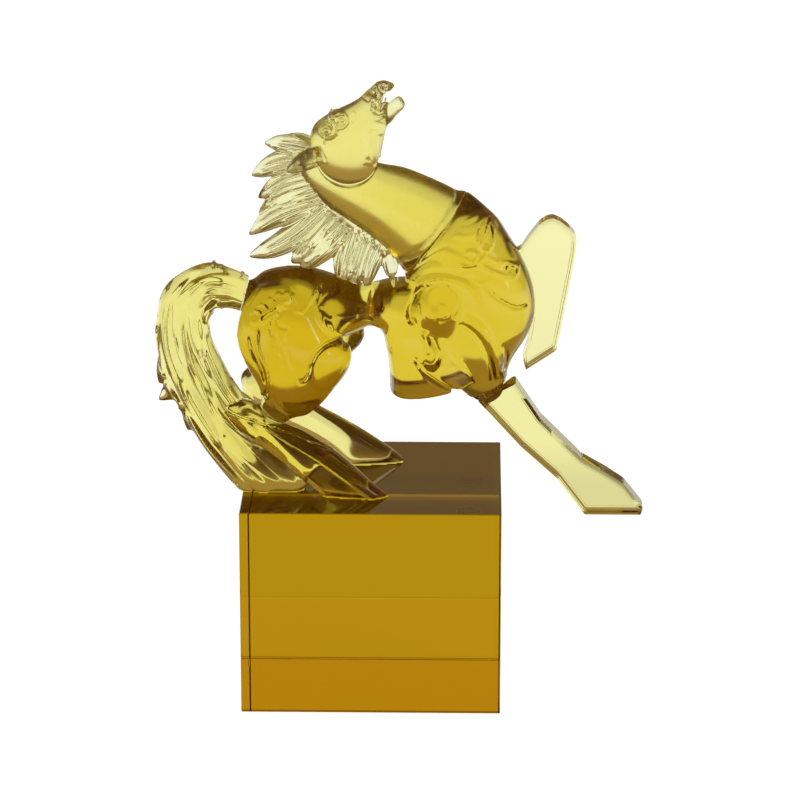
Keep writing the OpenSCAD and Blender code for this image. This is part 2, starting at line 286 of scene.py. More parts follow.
    def sample(self, field, points):
        """Values of a field at points, between its voxels. Far outside the block they're FAR."""
        g = (points - self.low) / self.voxel
        last = np.array(field.shape) - 2
        i = np.clip(np.floor(g).astype(int), 0, last)
        t = np.clip(g - i, 0, 1)
        value = 0
        for corner in range(8):
            o = np.array([corner & 1, corner >> 1 & 1, corner >> 2 & 1])
            w = np.prod(np.where(o, t, 1 - t), axis=1)
            value = value + w * field[tuple((i + o).T)]
        outside = ((g < 0) | (g > last + 1)).any(1)
        return np.where(outside, FAR, value)

    def everywhere(self, value):
        """A plane's or a profile's field spread over every voxel."""
        return value + 0 * self.x + 0 * self.y + 0 * self.z

    def plate(self, outline, low, high):
        """Field of a plate cut to an outline in XZ, between two values of y."""
        flat = -self.depth(outline)[:, None, :]
        return np.maximum(flat, np.abs(self.y - (low + high) / 2) - (high - low) / 2)

    def surface(self):
        """Points and faces of the glass's surface."""
        grid = openvdb.FloatGrid(FAR)
        grid.copyFromArray(np.ascontiguousarray(np.clip(self.f, -FAR, FAR)))
        points, triangles, quads = grid.convertToPolygons(0.0, 0.0)
        return points.astype(float) * self.voxel + self.low, quads


def even_out(points, quads, rounds):
    """Smooths a mesh without shrinking it."""
    edges = np.vstack([quads[:, [i, (i + 1) % 4]] for i in range(4)])
    a = np.concatenate([edges[:, 0], edges[:, 1]])
    b = np.concatenate([edges[:, 1], edges[:, 0]])
    count = np.maximum(np.bincount(a, minlength=len(points)), 1)[:, None]
    for i in range(2 * rounds):
        mean = np.stack([np.bincount(a, points[b, k], len(points)) for k in range(3)], 1) / count
        points = points + (0.5 if i % 2 == 0 else -0.52) * (mean - points)
    return points


def largest_parts(points, quads, least=40):
    """Drops loose crumbs of fewer than a few faces."""
    label = np.arange(len(points))
    while True:
        low = label[quads].min(1)
        new = label.copy()
        np.minimum.at(new, quads.ravel(), np.repeat(low, 4))
        new = new[new]
        if (new == label).all():
            break
        label = new
    size = np.bincount(label[quads[:, 0]], minlength=len(points))
    quads = quads[size[label[quads[:, 0]]] >= least]
    used, quads = np.unique(quads, return_inverse=True)
    return points[used], quads.reshape(-1, 4)


def add_object(name, mesh, material, node):
    """Puts a mesh in the scene as the piece that stands for a CAD node."""
    obj = bpy.data.objects.new(name, mesh)
    bpy.context.scene.collection.objects.link(obj)
    mesh.materials.append(material)
    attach(obj, "root")
    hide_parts(node)
    return obj


def make_object(name, points, faces, material, node):
    """The same from points in figure coordinates and the faces between them."""
    mesh = bpy.data.meshes.new(name)
    places = (ORIGIN + np.array(points) * MM).tolist()
    mesh.from_pydata(places, [], [list(map(int, face)) for face in faces])
    mesh.validate()
    mesh.update()
    return add_object(name, mesh, material, node)


def ring_faces(rings, count):
    """Faces between rings of count points each, one after another, with a cap at both ends."""
    last = (rings - 1) * count
    faces = [list(range(count)), list(range(last + count - 1, last - 1, -1))]
    for r in range(rings - 1):
        for i in range(count):
            j = (i + 1) % count
            faces.append([r * count + i, (r + 1) * count + i, (r + 1) * count + j, r * count + j])
    return faces


def mark_joints(obj, neighbours):
    """Notes which faces touch a neighbouring piece of glass, so that they can pass light straight on."""
    mesh = obj.data
    centres = np.empty(len(mesh.polygons) * 3)
    normals = np.empty_like(centres)
    mesh.polygons.foreach_get("center", centres)
    mesh.polygons.foreach_get("normal", normals)
    ahead = (centres.reshape(-1, 3) - ORIGIN) / MM + normals.reshape(-1, 3) * LOOK_AHEAD
    touching = np.zeros(len(ahead), bool)
    for other in neighbours:
        touching |= other.sample(other.f, ahead) < 0
    layer = mesh.attributes.new("joint", "FLOAT", "FACE")
    layer.data.foreach_set("value", touching.astype(np.float32))


def cast(clay, name, node, material, neighbours=(), rounds=3):
    """Turns sculpted clay into a glass piece that stands for a CAD node."""
    points, quads = clay.surface()
    points, quads = largest_parts(points, quads)
    points = np.clip(even_out(points, quads, rounds), CAD_LOW + BOX_MARGIN, CAD_HIGH - BOX_MARGIN)
    obj = make_object(name, points, quads, material, node)
    obj.data.shade_smooth()
    mark_joints(obj, neighbours)
    return obj


# ---------------------------------------------------------------- materials

# How strongly the amber glass absorbs red, green and blue light, per metre
ABSORBED = (7.0, 15.0, 86.0)
ABSORPTION_DENSITY = 92.0
GLASS_INDEX = 1.5
BONDED_INDEX = 1.0


def new_material(name):
    material = bpy.data.materials.new(name)
    material.use_nodes = True
    return material, material.node_tree.nodes, material.node_tree.links


def ramp(nodes, links, source, low, high, value_low, value_high, smooth=True):
    """A change between two values as the source goes from low to high."""
    node = nodes.new("ShaderNodeMapRange")
    if smooth:
        node.interpolation_type = "SMOOTHSTEP"
    node.inputs["From Min"].default_value = low
    node.inputs["From Max"].default_value = high
    node.inputs["To Min"].default_value = value_low
    node.inputs["To Max"].default_value = value_high
    links.new(source, node.inputs["Value"])
    return node.outputs["Result"]


def noise(nodes, links, scale, detail, distortion=0.0):
    """Noise over the object's own coordinates."""
    where = nodes.new("ShaderNodeTexCoord")
    node = nodes.new("ShaderNodeTexNoise")
    node.inputs["Scale"].default_value = scale
    node.inputs["Detail"].default_value = detail
    node.inputs["Distortion"].default_value = distortion
    links.new(where.outputs["Object"], node.inputs["Vector"])
    return node.outputs["Fac"]


def glass(name, rough_low, rough_high, ripple, ripple_scale=90.0, strength=1.0):
    """Amber glass that darkens with depth, with its polish and its cast ripples varying over the surface."""
    material, nodes, links = new_material(name)
    shader = nodes["Principled BSDF"]
    shader.inputs["Base Color"].default_value = (1, 1, 1, 1)
    shader.inputs["Transmission Weight"].default_value = 1.0
    wear = noise(nodes, links, 160.0, 3.0)
    roughness = ramp(nodes, links, wear, 0.35, 0.65, rough_low, rough_high, smooth=False)
    links.new(roughness, shader.inputs["Roughness"])
    if ripple:
        bump = nodes.new("ShaderNodeBump")
        bump.inputs["Strength"].default_value = 1.0
        bump.inputs["Distance"].default_value = ripple
        links.new(noise(nodes, links, ripple_scale, 1.0, 0.4), bump.inputs["Height"])
        links.new(bump.outputs["Normal"], shader.inputs["Normal"])
    # Bonded faces pass light straight on, as glass on clear adhesive does
    bonded = nodes.new("ShaderNodeAttribute")
    bonded.attribute_name = "joint"
    index = ramp(nodes, links, bonded.outputs["Fac"], 0, 1, GLASS_INDEX, BONDED_INDEX, smooth=False)
    shader.inputs["IOR"].default_value = GLASS_INDEX
    links.new(index, shader.inputs["IOR"])
    tint = nodes.new("ShaderNodeVolumeAbsorption")
    tint.inputs["Color"].default_value = (*[1 - a / ABSORPTION_DENSITY for a in ABSORBED], 1)
    tint.inputs["Density"].default_value = strength * ABSORPTION_DENSITY
    links.new(tint.outputs["Volume"], nodes["Material Output"].inputs["Volume"])
    return material


BODY_GLASS = glass("Glass_Body", 0.09, 0.16, 0.00004, strength=1.3)
HOCK_GLASS = glass("Glass_Hock", 0.03, 0.08, 0.00003, strength=2.2)
SATIN_GLASS = glass("Glass_Satin", 0.2, 0.28, 0.00004, strength=1.15)
CARVED_GLASS = glass("Glass_Carved", 0.16, 0.28, 0.00003, 140.0)
TAIL_GLASS = glass("Glass_Tail", 0.1, 0.2, 0.00003, 140.0, strength=1.35)
FACET_GLASS = glass("Glass_Facet", 0.0, 0.02, 0.0)
BLOCK_GLASS = glass("Glass_Block", 0.0, 0.01, 0.0)


def clear_resin(name, index, haze, tint):
    """Water-clear polymer with a faint, uneven haze on its surface."""
    material, nodes, links = new_material(name)
    shader = nodes["Principled BSDF"]
    shader.inputs["Base Color"].default_value = tint
    shader.inputs["Transmission Weight"].default_value = 1.0
    shader.inputs["IOR"].default_value = index
    cloud = noise(nodes, links, 400.0, 4.0)
    links.new(ramp(nodes, links, cloud, 0, 1, *haze, smooth=False), shader.inputs["Roughness"])
    return material


ADHESIVE = clear_resin("Adhesive_Clear", BONDED_INDEX, (0.0, 0.04), (1, 0.995, 0.97, 1))
PAD_POLYMER = clear_resin("Pad_Polymer", 1.45, (0.08, 0.3), (0.97, 0.98, 0.96, 1))


# ---------------------------------------------------------------- joints between the pieces

# [x, z, direction of the outward side in degrees above +X], as in the CAD model
NECK_JOINT = (18.5, 78, 143)
TAIL_ROOT_JOINT = (-39.5, 59, 165)
NEAR_FORELEG_JOINT = (37, 31, -62)
OFF_FORELEG_JOINT = (41, 57, 15)
NEAR_HOCK_JOINT = (-35, 22.5, -110)
OFF_HOCK_JOINT = (-28, 21, -70)
# [x, z, radius] of the round joint under the jowl; the head stands above the poll's height, forward to POLL_X
JOWL = (-7.5, 104.6, 9.6)
POLL_X = -7
POLL_Z = 103
NECK_MIDDLE = (-1, 92)


def jowl_bar(clay, extra=0.0):
    """Field of the round bar across Y that the jowl's outline follows."""
    return np.sqrt((clay.x - JOWL[0]) ** 2 + (clay.z - JOWL[1]) ** 2) - JOWL[2] - extra + 0 * clay.y


def within(clay, joint, reach):
    """Field of a round zone about a joint."""
    return np.sqrt((clay.x - joint[0]) ** 2 + (clay.z - joint[1]) ** 2) - reach + 0 * clay.y


def both(a, b):
    return np.maximum(a, b)


# ---------------------------------------------------------------- body forms

def chest_form(clay):
    outline = [
        (27, 92), (33, 88.3), (38, 84), (42, 78), (45.5, 72), (48.6, 65), (50, 58), (49.6, 52), (47.5, 46.5),
        (44, 41), (42, 36.5), (41.5, 33), (39, 27), (33, 25), (26, 30.5), (20, 35.5), (15.5, 40), (13.5, 48),
        (12, 56), (11.5, 63), (11, 68), (14, 75), (20, 83),
    ]
    return clay.form(outline, 0, 1.25, 19)


def bell_form(clay):
    outline = [
        (-2, 60), (2.5, 50), (4.3, 42), (5.2, 34), (5, 24), (5, 14), (14, 11), (26, 14), (33, 24), (33, 36),
        (28, 48), (20, 60), (8, 63.5),
    ]
    field = clay.form(outline, 0, 1.9, 16)
    rim = 29.4 + 0.009 * np.maximum(clay.x - 8, 0) ** 2
    h = np.maximum(1.2 - np.abs(field - (rim - clay.z)), 0) / 1.2
    return np.maximum(field, rim - clay.z) + h * h * 0.3


def neck_form(clay):
    outline = [
        (-19, 106), (-22.5, 101), (-21, 95.5), (-17.5, 91), (-13.5, 87), (-7, 82.6), (0, 77.8), (4, 74),
        (8, 69.5), (12, 64), (22, 60), (34, 68), (37, 80), (33, 88.3), (26.5, 91.9), (20, 95.2), (10, 99.3),
        (1.5, 101), (-4, 105), (-12, 108),
    ]
    return clay.form(outline, 0, 0.84)


def near_thigh_form(clay):
    outline = [
        (-35, 63.5), (-39.5, 57.5), (-41.4, 51), (-41.3, 46), (-40, 42), (-38, 37.5), (-36, 34), (-34.8, 31),
        (-35, 27), (-37, 23), (-36, 19), (-30, 19.5), (-24, 22.3), (-20, 23.2), (-15.5, 27), (-11.8, 31.5),
        (-8.6, 36), (-6.9, 39.5), (-6.4, 42.5), (-7.4, 46), (-10.5, 48.8), (-13, 53), (-17, 59), (-24, 64),
        (-30, 65),
    ]
    return clay.form(outline, -8.5, 0.9)


def off_thigh_form(clay):
    outline = [
        (-33, 63), (-38, 56), (-39, 48), (-38, 40), (-38, 33), (-40, 28), (-36, 21), (-28, 19), (-20, 24),
        (-14, 31), (-8, 37), (-4, 41), (-2.9, 44.6), (-4.5, 48.5), (-9, 51), (-12, 55), (-18, 61), (-26, 64),
    ]
    return clay.form(outline, 9, 0.88)


def croup_form(clay):
    outline = [
        (-37.5, 62), (-34.5, 65.8), (-29, 67.5), (-22, 67.8), (-15, 66.4), (-9, 64), (-4, 62), (1, 61),
        (3, 55), (-2, 50.5), (-8, 47), (-20, 42), (-32, 42), (-39, 50), (-40.5, 57),
    ]
    return clay.form(outline, 0, 1.35, 16)


def near_hind_form(clay):
    outline = [
        (-46, 22), (-44.8, 26.5), (-41, 28.2), (-37, 27.6), (-33, 24.8), (-27, 21), (-20, 18.6), (-10, 12.6),
        (0, 4.4), (5.8, -0.8), (5, -4), (-10, -6), (-17, -1.5), (-21, 3.8), (-30, 10.6), (-40, 17),
    ]
    lean = -11 - 8 * smoothstep(-36, 4, clay.px)
    return clay.form(outline, lean[:, None, :], 1.5, 5.6)


def off_hind_form(clay):
    outline = [
        (-41.8, 27), (-40.5, 31), (-36.5, 32.3), (-29, 27), (-18, 19.2), (-10, 14.4), (0, 7.8), (8.6, 1.2),
        (9, -3), (-5, -5), (-11, 2), (-18, 7.5), (-28, 13), (-38, 18),
    ]
    lean = 12 + 4 * smoothstep(-34, 6, clay.px)
    return clay.form(outline, lean[:, None, :], 1.4, 5.4)


def add_trunk(clay):
    """The chest, the bell-shaped brisket, the narrow barrel and the croup, as one skin."""
    clay.join(chest_form(clay))
    clay.join(bell_form(clay), 1.0)
    clay.strand([(20, 0, 56), (6, 0, 56.4), (-2, 0, 55.8), (-12, 0, 55)], [9, 6.6, 5.6, 8], 1.9, 3.0)
    clay.join(croup_form(clay), 3.0)


def shoulder_relief(clay):
    """Muscle lines, the armpit hollow and a plain scroll ornament on the chest."""
    relief = clay.plateau(polar((21.6, 60.6), 5.2, 0, 330, 12), 0.8, 3.4)
    relief += clay.line(polar((21.6, 60.6), 5.5, 75, -55, 10), 0.45, -0.9)
    relief += clay.line(polar((21.6, 60.6), 5.8, 170, 80, 8), 0.5, -0.4)
    relief += clay.line([(13.6, 65), (17, 67.3), (22, 68.4), (27.4, 67.4), (31.5, 64.4),
        (33.4, 61)], 0.5, 0.7)
    relief += clay.line([(12.6, 65), (16.6, 68.8), (22, 70), (28, 69), (33, 65.6)], 0.6, -0.5)
    relief += clay.line([(16.2, 64.8), (13.2, 61.4), (11.6, 57.6), (12.4, 53.6)], 0.8, -1.6)
    relief += clay.line([(17.6, 50.6), (19.2, 47.4), (20.4, 43.6), (18.4, 40.6), (15.6, 41.8)], 0.9, -2.2)
    relief += clay.line([(15.8, 52), (17, 47.6), (17.4, 44.4)], 0.7, 1.0)
    relief += clay.line([(13, 43.4), (15.4, 39.4), (19.2, 36.2), (23.6, 33.4), (28, 31.4)], 0.6, -1.1)
    relief += clay.line([(28.4, 56.6), (33.4, 52.6), (36.8, 47.4), (38.2, 41.4), (39, 35)], 1.4, 0.9)
    relief += clay.line([(27, 54.6), (31.8, 50.6), (34.8, 45.6), (36.6, 39.6), (37.4, 33)], 0.7, -0.7)
    relief += clay.line([(40.4, 47), (41.2, 42.6), (40.6, 37)], 0.6, -0.7)
    scallops = [(34.6, 66.4), (37.4, 63), (41, 60.2), (44.6, 58.4), (47.6, 58.6)]
    relief += clay.line(scallops, 0.55, -1.1)
    for x, z in spline(scallops, steps=3)[1:-1]:
        relief += clay.line(polar((x, z + 0.4), 0.7, 200, 340, 5), 0.3, 0.45)
    relief += clay.line(polar((34.9, 80.6), 2.4, 110, 430, 12, 1.6) + [(33.2, 77)], 0.4, 0.8)
    relief += clay.line(polar((30.4, 75.2), 1.6, -170, 160, 12), 0.4, 0.8)
    relief += clay.line(polar((30.4, 75.2), 0.6, 0, 300, 6), 0.35, 0.5)
    relief += clay.line([(26.6, 72.6), (30, 72.4), (33, 73.8), (35, 76), (34.6, 78.6)], 0.4, 0.8)
    scroll = [(33.4, 72.6), (37, 70.6), (41, 68.8), (44, 68.4), (44.6, 70.6), (42, 72.4), (38, 73.6)]
    relief += clay.line(scroll, 0.4, 0.8)
    relief += clay.line(polar((42.4, 70.4), 1.2, 0, 330, 10), 0.35, 0.6)
    relief += clay.plateau([(28, 71.4), (32.6, 72), (36, 69.4), (33, 67.4), (29, 69)], -0.5, 1.2)
    for i in range(5):
        relief += clay.plateau(polar((35.4 + 1.5 * i, 74.6 - 0.75 * i), 0.55, 0, 300, 6), 0.5, 0.5)
    return relief


def rump_relief(clay):
    """Scrolls and long muscle lines on the haunch."""
    relief = clay.line([(-18.6, 42.2), (-16.8, 45.6), (-13.6, 47.8), (-10, 47.6), (-7.6, 45.4)], 0.55, -1.2)
    relief += clay.line([(-18.6, 42.4), (-19.4, 39), (-20.6, 37), (-22.2, 36.6)], 0.5, -1.3)
    stifle = [(-18, 42), (-15.6, 46), (-11, 47), (-7.4, 44), (-8, 38), (-13, 33), (-18, 36)]
    relief += clay.plateau(stifle, 0.8, 2.6)
    curls = [(-35.4, 56.4, 1.7), (-33.4, 58.8, 1.3), (-31, 60.2, 1.5), (-28.4, 61.8, 1.2), (-25.8, 62, 1.1)]
    for x, z, r in curls:
        relief += clay.line(polar((x, z), r, -140, 170, 10), 0.35, 0.65)
    relief += clay.line([(-36.4, 54.2), (-32.4, 57.6), (-28.4, 60), (-24.2, 62.4), (-22.8, 60.4)], 0.4, 0.6)
    relief += clay.line([(-34, 54.6), (-30.6, 57), (-28, 58.2)], 0.4, 0.5)
    relief += clay.line([(-21.4, 57.6), (-18.4, 61), (-15.4, 64.8)], 0.4, 0.7)
    relief += clay.line([(-20.4, 57.2), (-17.8, 59.6), (-15.8, 63)], 0.35, -0.5)
    relief += clay.line([(-23.6, 58.6), (-21.2, 58.2), (-19.6, 59)], 0.35, 0.5)
    relief += clay.line([(-34.6, 53), (-35, 48.4), (-33.4, 43.2), (-31.8, 39), (-32, 33.6)], 0.5, 0.6)
    relief += clay.line([(-36.2, 50), (-35.6, 44.8), (-33.6, 40), (-32.4, 35)], 0.5, -0.7)
    relief += clay.line([(-37.2, 50.4), (-36.6, 46), (-35, 42)], 0.4, -0.5)
    relief += clay.line([(-30.6, 57), (-31.4, 52), (-30.2, 47.6), (-28.6, 45)], 0.4, 0.5)
    relief += clay.line([(-29.6, 52.6), (-28.6, 48.6), (-27.4, 44.8), (-27.2, 41.2)], 0.4, -0.5)
    relief += clay.line(polar((-26.2, 56), 2.6, 60, 300, 10), 0.4, -0.6)
    relief += clay.line([(-25, 53.6), (-25.8, 49.6), (-25.2, 45.2), (-24.2, 40.6)], 0.4, -0.6)
    relief += clay.line([(-31.6, 33.6), (-33.4, 29.6), (-36.2, 26.4)], 0.6, -1.1)
    relief += clay.line([(-30.6, 31.6), (-28, 27.4), (-24.4, 24)], 0.8, -0.8)
    return relief


def sculpt_torso():
    clay = Clay((-48, -24, 14), (53, 23, 95), 0.46)
    add_trunk(clay)
    clay.join(near_thigh_form(clay), 1.6)
    clay.join(off_thigh_form(clay), 1.6)
    clay.join(near_hind_form(clay), 1.2)
    clay.join(off_hind_form(clay), 1.2)
    clay.join(neck_form(clay), 1.5)
    clay.raise_surface(shoulder_relief(clay) + rump_relief(clay), off=0.25)
    clay.strand([(-32, 0, 58.6), (-42, 0, 59)], [4.7, 4.7], 0.95, 2.0)
    side = clay.everywhere(clay.y)
    neck_zone = np.minimum(within(clay, NECK_JOINT, 19), within(clay, NECK_MIDDLE, 24))
    clay.remove(both(clay.beyond(NECK_JOINT), neck_zone))
    clay.remove(both(clay.beyond(TAIL_ROOT_JOINT), within(clay, TAIL_ROOT_JOINT, 9)))
    clay.remove(both(both(clay.beyond(NEAR_FORELEG_JOINT), within(clay, NEAR_FORELEG_JOINT, 16)), side))
    clay.remove(both(both(clay.beyond(NEAR_HOCK_JOINT), within(clay, NEAR_HOCK_JOINT, 40)), side + 3))
    clay.remove(both(both(clay.beyond(OFF_HOCK_JOINT), within(clay, OFF_HOCK_JOINT, 40)), -side - 3))
    return clay


def sculpt_neck():
    clay = Clay((-25, -13, 62), (38, 13, 106), 0.4)
    clay.join(neck_form(clay))
    clay.join(chest_form(clay), 1.5)
    clay.raise_surface(shoulder_relief(clay), off=0.25)
    collar = clay.line([(27, 88), (26.5, 82.4), (23, 78.6), (17, 75.2), (11, 71.8)], 0.8, -0.8)
    collar += clay.line([(28.4, 81.5), (25.4, 76.5), (20, 72.4), (14, 69.6), (9, 66.4)], 0.7, -0.7)
    collar += clay.line([(27.8, 85), (26, 79.6), (21, 75.4), (15, 72.2), (10, 69)], 1.1, 0.9)
    clay.raise_surface(collar)
    clay.remove(-clay.beyond(NECK_JOINT, BOND))
    clay.remove(jowl_bar(clay, BOND))
    clay.remove(both(POLL_Z - clay.everywhere(clay.z), clay.everywhere(clay.x) - POLL_X))
    return clay


def sculpt_head():
    clay = Clay((-34, -11, 92), (12, 11, 130), 0.25)
    skull = [
        (-19, 108), (-17.8, 112.6), (-14, 115.8), (-9.5, 118), (-5, 120.4), (-1, 123.4), (1.5, 124.5),
        (3.8, 121.5), (5, 117), (4, 111), (3, 105), (2.2, 99.6), (0.2, 96.2), (-4.5, 94.4), (-9, 94.2),
        (-14, 96.8), (-18, 101.4),
    ]
    upper_lip = [
        (-3, 121), (-0.6, 124.2), (1.6, 126.2), (4.6, 126.4), (6.6, 125.4), (6.2, 124.2), (4.6, 122.6),
        (4, 120.4), (2.5, 117), (-2, 116),
    ]
    lower_lip = [
        (1, 118), (3.4, 118.8), (5, 119.6), (6.6, 121), (8.3, 121.7), (9.8, 119.9), (9.4, 118), (7.4, 116),
        (5.4, 113.5), (2, 112),
    ]
    clay.join(clay.form(skull, 0, 1.15, 8.4))
    clay.join(clay.form(upper_lip, 0, 1.25), 1.2)
    clay.join(clay.form(lower_lip, 0, 1.35), 0.8)
    mouth = [(3.4, 119.6), (5.2, 121.6), (8, 124.6), (12, 126), (11, 122.8), (8.2, 122.4), (6, 121)]
    clay.remove(clay.plate(mouth, -11, 11), 0.5)
    relief = clay.line([(-14.6, 110.2), (-15.6, 111.8), (-14.6, 113.4), (-12.8, 113.2),
        (-12.4, 111.6)], 0.4, 0.8)
    relief += clay.line([(-12.8, 110.8), (-11.2, 112), (-11.4, 114.4), (-13, 116), (-10.4, 117)], 0.4, 0.8)
    relief += clay.line([(-11, 113), (-8.6, 113.6), (-7.2, 115.4), (-8.2, 117.2), (-10, 117)], 0.4, 0.8)
    relief += clay.line([(-6.4, 114.6), (-5, 116.4), (-5.6, 118.2)], 0.4, 0.4)
    relief += clay.line(polar((-9.2, 115.4), 1.1, 0, 340, 10, 0.8), 0.45, -0.9)
    relief += clay.plateau(polar((-13.6, 112.6), 1.6, 0, 320, 8), 0.5, 1.0)
    relief += clay.line([(-14.6, 108.8), (-11.8, 109.4), (-10.2, 111)], 0.6, -0.8)
    relief += clay.line(polar((3.4, 125.3), 1.0, 0, 350, 10, 0.8), 0.35, 0.6)
    relief += clay.plateau(polar((3.4, 125.3), 0.6, 0, 300, 6), -0.5, 0.6)
    relief += clay.line([(1.3, 124), (1.4, 122), (0.4, 120)], 0.4, -0.8)
    relief += clay.line([(4.6, 123.6), (3.2, 120.6), (2.2, 118)], 0.45, -0.9)
    relief += clay.line([(3.2, 123.2), (1.8, 120), (1.2, 117.6)], 0.4, 0.6)
    relief += clay.line([(0.4, 121.6), (-0.8, 118.6), (1, 116.6), (4, 116.6)], 0.5, -0.5)
    relief += clay.line([(5.4, 119.8), (7, 120), (8.6, 120.6)], 0.4, 0.4)
    relief += clay.line([(0.2, 113), (0.4, 109), (0, 105), (-1.2, 101.5)], 1.3, 0.7)
    relief += clay.line([(2.4, 111), (2, 105), (0.8, 101)], 0.9, -0.5)
    clay.raise_surface(relief)
    clay.remove(both(clay.everywhere(clay.z) - POLL_Z, -jowl_bar(clay)))
    for side in (-1, 1):
        lean = side * (6.4 + 1.4 * smoothstep(-16, -25, clay.px))
        clay.join(clay.form(leaf((-15, 105), (-26, 100), 7, -0.5), lean[:, None, :], 0.72, 2.2), 0.6)
        hollow = [
            (-15.8, side * 9, 104.4), (-19, side * 9.6, 103.8), (-22.4, side * 9.9, 102.2),
            (-24.6, side * 9.6, 101)
        ]
        clay.strand(hollow, [0.5, 1.2, 1.0, 0.3], 0.7, 0.5, carve=True)
        rib = [(-15.8, side * 8.2, 103.6), (-19.4, side * 8.4, 103), (-23, side * 8.8, 101.6)]
        clay.strand(rib, [0.5, 0.6, 0.25], 1, 0.3)
    return clay


def lock_line(root, tip, width, bend, lane=0.0, count=7):
    """Points along a lock of hair that bows to one side. lane is the place across it, from -0.5 to 0.5."""
    root, tip = np.array(root, float), np.array(tip, float)
    along = tip - root
    across = np.array([-along[1], along[0]]) / np.linalg.norm(along)
    t = np.linspace(0, 1, count)[:, None]
    half = np.sqrt(np.clip(1 - t**2, 0, 1)) * (0.75 + 0.25 * np.sin(math.pi * t))
    return root + along * t + across * (bend * np.sin(math.pi * t) + lane * width * half)


def leaf(root, tip, width, bend=0.0):
    """Outline of a lock: broad at its root and pointed at its tip."""
    left, right = [lock_line(root, tip, width, bend, lane) for lane in (0.5, -0.5)]
    return np.vstack([left, right[-2::-1]])


# [root, tip, width, bow] of each lock of the mane, from the poll down to the withers
MANE_LOCKS = [
    ((-19, 105), (-33, 107), 7, -1), ((-19, 101), (-37, 97), 9, -2), ((-19, 97), (-35, 90), 9, -1),
    ((-17, 94), (-35, 85), 9, -1), ((-15, 90), (-38, 78), 10, -2), ((-14, 87), (-38, 71), 10, 2),
    ((-11, 84), (-25, 69), 12, 1), ((-8, 82), (-22, 67), 12, -1), ((-5, 80), (-10, 62), 11, 0),
    ((-2, 78), (-6, 61), 9, -1), ((2, 76), (-2, 62), 8, -1), ((5, 74), (6, 64), 6, 0)
]
MANE_CREST = [(-18, 0, 103), (-17, 0, 96), (-12, 0, 88), (-4, 0, 81), (4, 0, 75)]
CREST_RADIUS = 3.4
# How far the locks wave to the near and the off side
MANE_SWAY = 0.9


def hair_relief(clay, locks, height=0.6):
    """Ridges along each lock, with shallow valleys between them."""
    relief = 0
    for root, tip, width, bend in locks:
        for lane in (-0.28, 0, 0.28):
            relief = relief + clay.line(lock_line(root, tip, width, bend, lane)[:-1], 0.65, height)
        for lane in (-0.14, 0.14):
            relief = relief + clay.line(lock_line(root, tip, width, bend, lane)[:-1], 0.9, -0.7 * height)
    return relief


def sculpt_mane():
    clay = Clay((-40, -9, 59), (12, 8, 111), 0.28)
    sway = MANE_SWAY * np.sin(0.35 * clay.px - 0.22 * clay.pz)[:, None, :]
    for root, tip, width, bend in MANE_LOCKS:
        clay.join(clay.form(leaf(root, tip, width, bend), sway, 1.05, 3.9), 0.6)
    clay.strand(MANE_CREST, [CREST_RADIUS] * len(MANE_CREST), 1, 1.0)
    clay.raise_surface(hair_relief(clay, MANE_LOCKS))
    clay.remove(neck_form(clay) - 0.1)
    clay.remove(croup_form(clay) - 0.15)
    clay.remove(bell_form(clay) - 0.15)
    clay.remove(jowl_bar(clay) - 0.1)
    return clay


def sculpt_forelock():
    clay = Clay((-30, -4, 104), (-15, 4, 114), 0.2)
    root, tip, width, bend = (-17, 107), (-28, 109), 3.2, -1
    clay.join(clay.form(leaf(root, tip, width, bend), -0.5, 1.5, 1.7))
    return clay


# [x, z, width] down the middle of the tail, from its root to its foot
TAIL_MIDDLE = [
    (-36, 58, 9), (-44, 61, 11), (-52, 61, 15), (-58, 54, 16), (-58, 45, 17), (-55, 36, 18), (-50, 27, 18),
    (-45, 20, 20), (-37, 12, 23), (-28, 4, 26), (-23, -1, 27)
]
# Locks that stand out from its outer edge
TAIL_LOCKS = [
    ((-55, 63), (-66, 56), 7, -1), ((-59, 53), (-66, 43), 8, -1), ((-59, 42), (-66, 32), 8, -1),
    ((-56, 38), (-66, 27), 8, 1), ((-52, 28), (-57, 18), 8, -1)
]


def tail_path(share, steps=60):
    """A curve that runs down the tail, at a share of the way from its inner to its outer edge."""
    middle = spline(TAIL_MIDDLE)
    along = np.gradient(middle[:, :2], axis=0)
    outward = np.stack([along[:, 1], -along[:, 0]], 1) / np.linalg.norm(along, axis=1)[:, None]
    path = middle[:, :2] + outward * (share - 0.5) * middle[:, 2:]
    at = np.linspace(0, len(path) - 1, steps)
    return np.stack([np.interp(at, np.arange(len(path)), path[:, k]) for k in range(2)], 1)


def tail_lean(z):
    """How far the tail stands towards the near side at each height."""
    return -11.5 + 11.5 * smoothstep(2, 62, z)


